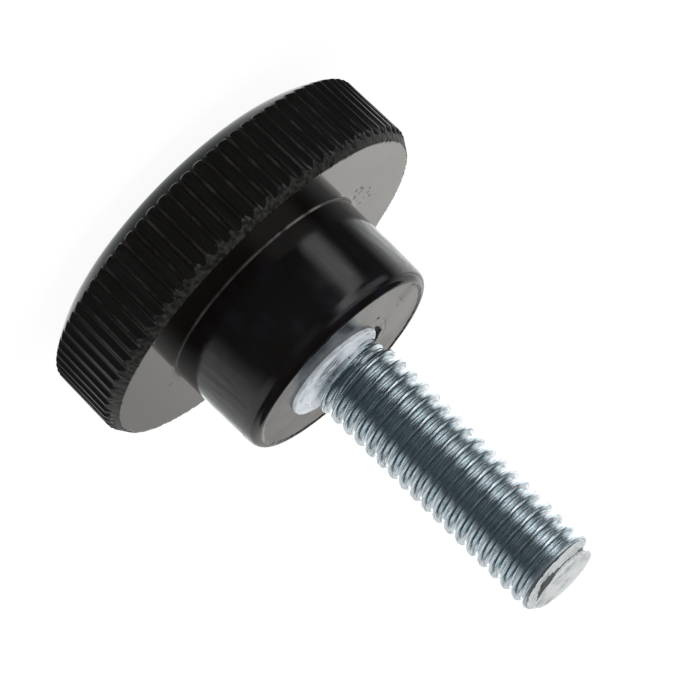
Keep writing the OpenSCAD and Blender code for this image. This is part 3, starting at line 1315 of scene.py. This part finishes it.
@dataclass(frozen=True)
class Studio:
    """Floor, surroundings and camera. Lengths are in millimetres and angles in degrees."""

    panels: tuple[Panel, ...] = (
        Panel(-61, 4, 14, 1.35, 16, (34, 48)),
        Panel(-76, 14, 12, 0.62, 0, (88, 112)),
        Panel(5, 6, 20, 0.1, 0, (58, 90)),
        Panel(130, 40, 34, 0.68, -9),
        Panel(-161, 28, 34, 1.25),
    )
    window: Panel = Panel(-50, 14, 28, 0.55)
    window_top: Pair = (16.0, 25.0)
    room: str = "2f3b41"
    zenith: str = "131a22"
    zenith_from: Pair = (45.0, 62.0)
    wall: float = 0.7
    wall_foot: Pair = (-1.0, 2.0)
    wall_top: Pair = (30.0, 33.0)
    wall_turn: Pair = (90.0, 130.0)

    floor_size: float = 3000.0
    floor_drop: float = 0.02
    floor_grey: float = 0.8
    floor_glow: float = 1.05
    floor_share: float = 0.9
    far_from: Pair = (58.0, 84.0)
    behind_from: Pair = (4.0, 30.0)
    haze_size: float = 5.0
    haze_levels: Colour = (0.3, 0.7, 0.65, 1.3)
    under_y: Pair = (-10.5, -1.5)
    under_level: float = 0.12
    under_r: Pair = (14.0, 18.0)

    card_size: Pair = (320.0, 18.0)
    card_place: Triple = (0.0, 200.0, 58.0)
    card_across: Pair = (-14.0, 14.0)
    card_levels: Pair = (1.25, 0.66)
    card_colour: str = "fffcf8"

    elevation: float = 13.55
    roll: float = 225.47
    distance: float = 744.0
    pixels_per_mm: float = 16.13
    picture: int = 700
    shift: Pair = (-15.85, -4.18)
    sensor: float = 36.0
    clip_m: Pair = (0.05, 10.0)

    @staticmethod
    def compass(add: Adder, x: Socket, y: Socket) -> Socket:
        """Compass angle of a direction, in degrees from the camera's side. Returns the output socket."""
        back = add("Math", (y, -1.0), operation="MULTIPLY")
        return add("Math", (add("Math", (x, back), operation="ARCTAN2"),), operation="DEGREES")

    def panel_light(self, add: Adder, degrees: Socket, reach: Socket, behind: Socket) -> Socket:
        """How bright the panels are at each place of the floor.

        Args:
            add: The function that adds a node to the tree.
            degrees: The compass angle.
            reach: The distance from the axis, in millimetres.
            behind: One behind the knob and zero in front of it.

        Returns:
            The output socket.
        """
        total = 0.0
        far = add("MapRange", (reach, *self.far_from), **SMOOTH)
        for panel in self.panels:
            place = add("Math", (far, panel.drift, panel.azimuth), operation="MULTIPLY_ADD")
            off = add("Math", (degrees, place), operation="SUBTRACT")
            off = add("Math", (add("Math", (off, 180.0, -180.0), operation="WRAP"),), operation="ABSOLUTE")
            end = panel.half_width + panel.soft
            level = add("MapRange", (off, panel.half_width, end, panel.level, 0.0), **SMOOTH)
            begun = add("MapRange", (reach, *panel.starts), **SMOOTH)
            clear = add("Math", (begun, behind), operation="MAXIMUM")
            total = add("Math", (level, clear, total), operation="MULTIPLY_ADD")
        return total

    def build_world(self) -> None:
        """White to the eye and to matt surfaces, and a dark room with a low pale wall to glossy ones."""
        world = bpy.data.worlds.new("studio")
        bpy.context.scene.world = world
        world.use_nodes = True
        world.node_tree.nodes.clear()
        add = partial(add_node, world.node_tree)
        x, y, z = add("SeparateXYZ", (add("TexCoord", out="Generated"),)).node.outputs
        rise = add("Math", (add("Math", (z,), operation="ARCSINE"),), operation="DEGREES")
        compass = self.compass(add, x, y)
        # The wall stands behind the knob, and a dim window to the left of the camera
        foot = add("MapRange", (rise, *self.wall_foot), **SMOOTH)
        top = add("MapRange", (rise, *self.wall_top, 1.0, 0.0), **SMOOTH)
        turn = add("Math", (compass,), operation="ABSOLUTE")
        behind = add("MapRange", (turn, *self.wall_turn, 0.0, self.wall), **SMOOTH)
        wall = add("Math", (add("Math", (foot, top), operation="MINIMUM"), behind), operation="MULTIPLY")
        window = self.window
        aside = add("Math", (compass, window.azimuth), operation="SUBTRACT")
        aside = add("Math", (aside,), operation="ABSOLUTE")
        end = window.half_width + window.soft
        across = add("MapRange", (aside, window.half_width, end, window.level, 0.0), **SMOOTH)
        below = add("MapRange", (rise, *self.window_top, 1.0, 0.0), **SMOOTH)
        share = add("Math", (across, below, wall), operation="MULTIPLY_ADD")
        above = add("MapRange", (rise, *self.zenith_from), **SMOOTH)
        room = add("Mix", {0: above, 6: hex_colour(self.room), 7: hex_colour(self.zenith)}, **COLOURS)
        room = add("Mix", {0: share, 6: room, 7: (1, 1, 1, 1)}, clamp_factor=False, **COLOURS)
        dark = add("Background", (room, 1.0))
        white = add("Background", ((1, 1, 1, 1), 1.0))
        glossy = add("LightPath", out="Is Glossy Ray")
        add("OutputWorld", {"Surface": add("MixShader", (glossy, white, dark))})

    def build_floor(self) -> Object:
        """A white floor with a soft shadow, which glossy surfaces see as a table that is dark close by.

        Returns:
            The floor.
        """
        bm = bmesh.new()
        bmesh.ops.create_grid(bm, x_segments=1, y_segments=1, size=self.floor_size)
        bmesh.ops.translate(bm, vec=(0, 0, -self.floor_drop), verts=bm.verts)
        material, add = bare_material("white_floor")
        matt = add("BsdfDiffuse", ((*(self.floor_grey,) * 3, 1),))
        glow = add("Emission", ((1, 1, 1, 1), self.floor_glow))
        white = add("MixShader", (self.floor_share, matt, glow))
        coords = add("VectorMath", {0: add("TexCoord", out="Object"), "Scale": 1 / MM}, operation="SCALE")
        x, y, _ = add("SeparateXYZ", (coords,)).node.outputs
        reach = add("VectorMath", (add("CombineXYZ", (x, y)),), "Value", operation="LENGTH")
        behind = add("MapRange", (y, *self.behind_from), **SMOOTH)
        lit = self.panel_light(add, self.compass(add, x, y), reach, behind)
        # Thin cloud over the panels, and bare white floor under the back of the crown
        haze = add("TexNoise", {"Vector": coords, "Scale": 1 / self.haze_size, "Detail": 3.0})
        haze = add("MapRange", (haze, *self.haze_levels), **SMOOTH)
        lit = add("Math", (lit, haze), operation="MULTIPLY")
        back = add("MapRange", (y, *self.under_y, self.under_level))
        close = add("MapRange", (reach, *self.under_r, 1.0, 0.0), **SMOOTH)
        under = add("Math", (back, close), operation="MULTIPLY")
        lit = add("Math", (lit, under), operation="MAXIMUM")
        patches = add("Emission", ((1, 1, 1, 1), lit))
        table = add("AddShader", (patches, add("Emission", (hex_colour(self.room), 1.0))))
        glossy = add("LightPath", out="Is Glossy Ray")
        add("OutputMaterial", {"Surface": add("MixShader", (glossy, white, table))})
        floor = finish_piece(bm, "floor", (material,))
        return floor

    def build_wall_card(self) -> Object:
        """A pale wall behind the knob that only its flat faces mirror, brighter towards -X.

        Returns:
            The card.
        """
        bm = bmesh.new()
        bmesh.ops.create_grid(bm, x_segments=1, y_segments=1, size=1)
        bmesh.ops.scale(bm, vec=(*self.card_size, 1), verts=bm.verts)
        upright = Matrix.Rotation(math.radians(90), 3, "X")
        bmesh.ops.rotate(bm, cent=(0, 0, 0), matrix=upright, verts=bm.verts)
        bmesh.ops.translate(bm, vec=self.card_place, verts=bm.verts)
        material, add = bare_material("pale_wall")
        x = add("SeparateXYZ", (add("TexCoord", out="Object"),))
        left, right = self.card_across
        level = add("MapRange", (x, left * MM, right * MM, *self.card_levels))
        glow = add("Emission", (hex_colour(self.card_colour), level))
        add("OutputMaterial", {"Surface": glow})
        card = finish_piece(bm, "wall_card", (material,))
        card.visible_camera = card.visible_diffuse = card.visible_shadow = False
        return card

    def build_camera(self) -> Object:
        """A long lens above the hub's face, rolled so that the stud points down to the right.

        Returns:
            The camera.
        """
        data = bpy.data.cameras.new("camera")
        camera = bpy.data.objects.new("camera", data)
        bpy.context.scene.collection.objects.link(camera)
        elevation, roll = math.radians(self.elevation), math.radians(self.roll)
        data.sensor_width = self.sensor
        data.lens = self.distance * self.pixels_per_mm * self.sensor / self.picture
        data.clip_start, data.clip_end = self.clip_m
        view = Vector((0, math.cos(elevation), -math.sin(elevation)))
        right = Vector((1, 0, 0))
        up = right.cross(view)
        aside, above = (pixels / self.pixels_per_mm for pixels in self.shift)
        target = Vector((0, 0, FACE_Z)) + right * aside + up * above
        basis = Matrix((right, up, -view)).transposed()
        turn = basis @ Matrix.Rotation(-roll, 3, "Z")
        camera.matrix_world = Matrix.Translation((target - view * self.distance) * MM) @ turn.to_4x4()
        bpy.context.scene.camera = camera
        return camera


def main() -> None:
    """Builds the pieces in order and places them in the frame."""
    logging.basicConfig(level=logging.INFO, format="%(name)s: %(message)s")
    bpy.context.scene.view_settings.view_transform = "Standard"
    studio = Studio()
    studio.build_camera()
    studio.build_world()
    studio.build_floor()
    studio.build_wall_card()

    head = Head()
    # Glossy where the mould was polished, faintly lined on the hub's side where it was drawn out, satin on
    # the hub's face and the handled rim, and grey and dull where flash was trimmed. Pale mottle paints a
    # highlight on the fillet, brighter towards -X, and on the lips where the flutes run out, and a
    # near-black finish paints the shade deep in the groove in the hub's face
    plastics = {
        Plastic.POLISHED: MouldedThermoset(crumbs=((-8.5, 1.2, 1.0), (8.5, 1.0, 0.5))),
        Plastic.CHAMFER: TrimmedThermoset(),
        Plastic.HUB_SIDE: MouldedThermoset("drawn_black_phenolic", "0f0b08", "151116", gloss=0.09, drag=0.05,
                                           cloud=0.06, waviness=0.025),
        Plastic.HUB_FACE: MouldedThermoset("satin_black_phenolic", gloss=0.15, cloud=0.1, waviness=0.005,
                                           crumbs=((-5.4, -0.3, 0.5), (5.0, 0.5, 0.5))),
        # The fillet's pale line is a painted highlight, brighter towards -X
        Plastic.FILLET: TrimmedThermoset("painted_highlight_on_fillet", "242321", "807d7a", 1.1, (-3.4, 0.5)),
        Plastic.RIM: MouldedThermoset("scuffed_black_phenolic", gloss=0.15, scuffed=0.2, cone=head.cone),
        # Pale lips where the flutes run out are a painted highlight
        Plastic.LIP_HIGHLIGHT: TrimmedThermoset("painted_highlight_on_flute_lips", "353432", "7b7875", 0.5),
        # Near-black deep in the face's groove is painted shade
        Plastic.GROOVE_SHADE: TrimmedThermoset("painted_shade_in_face_groove", "040404", "1a1816", 0.2),
    }
    # Bright on the thread, bruised white on the last turn and the cut end, and a dark, dull painted shade in
    # the groove below it on the front. Soft and pale on the flange, which was pressed and not rolled, with
    # painted shade in bands in front, near the thread
    zincs = {
        Zinc.THREAD: ZincPlate("zinc_plated_thread", worn_from=END_Z - 1.2),
        Zinc.FROSTED: ZincPlate("frosted_zinc", "f0f3f4", "b9c1c1", "e4e4de", metallic=0.3, rough=0.5,
                                grain_deep=0.05),
        # Painted shade, dark and dull, in the groove under the end face
        Zinc.GROOVE: ZincPlate("painted_shade_in_stud_groove", "6a706e", "202527", "4a504e", metallic=0.3, rough=0.5,
                               grain_deep=0.02),
    }
    # The flange's zinc carries painted shade in bands in front, near the thread
    matt = ZincPlate("matt_zinc_on_flange", "f4faff", "bccbd6", "f2eef6", metallic=0.12, rough=0.4,
                     grain_deep=0.03, shaded=0.9)
    pieces = (
        (Knob(head, Hub(), FaceMarks()), plastics.values(), Slot.PLASTIC, "knob"),
        (Stud(), zincs.values(), Slot.ZINC, "stud"),
        (Collar(), (matt,), Slot.ZINC, None),
    )
    for maker, finishes, slot, node in pieces:
        piece = maker.build([finish.build() for finish in finishes])
        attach(piece, BODY)
        if node:
            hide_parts(node)
        LOG.info("%s: %d faces", piece.name, len(piece.data.polygons))


if __name__ == "__main__":
    main()
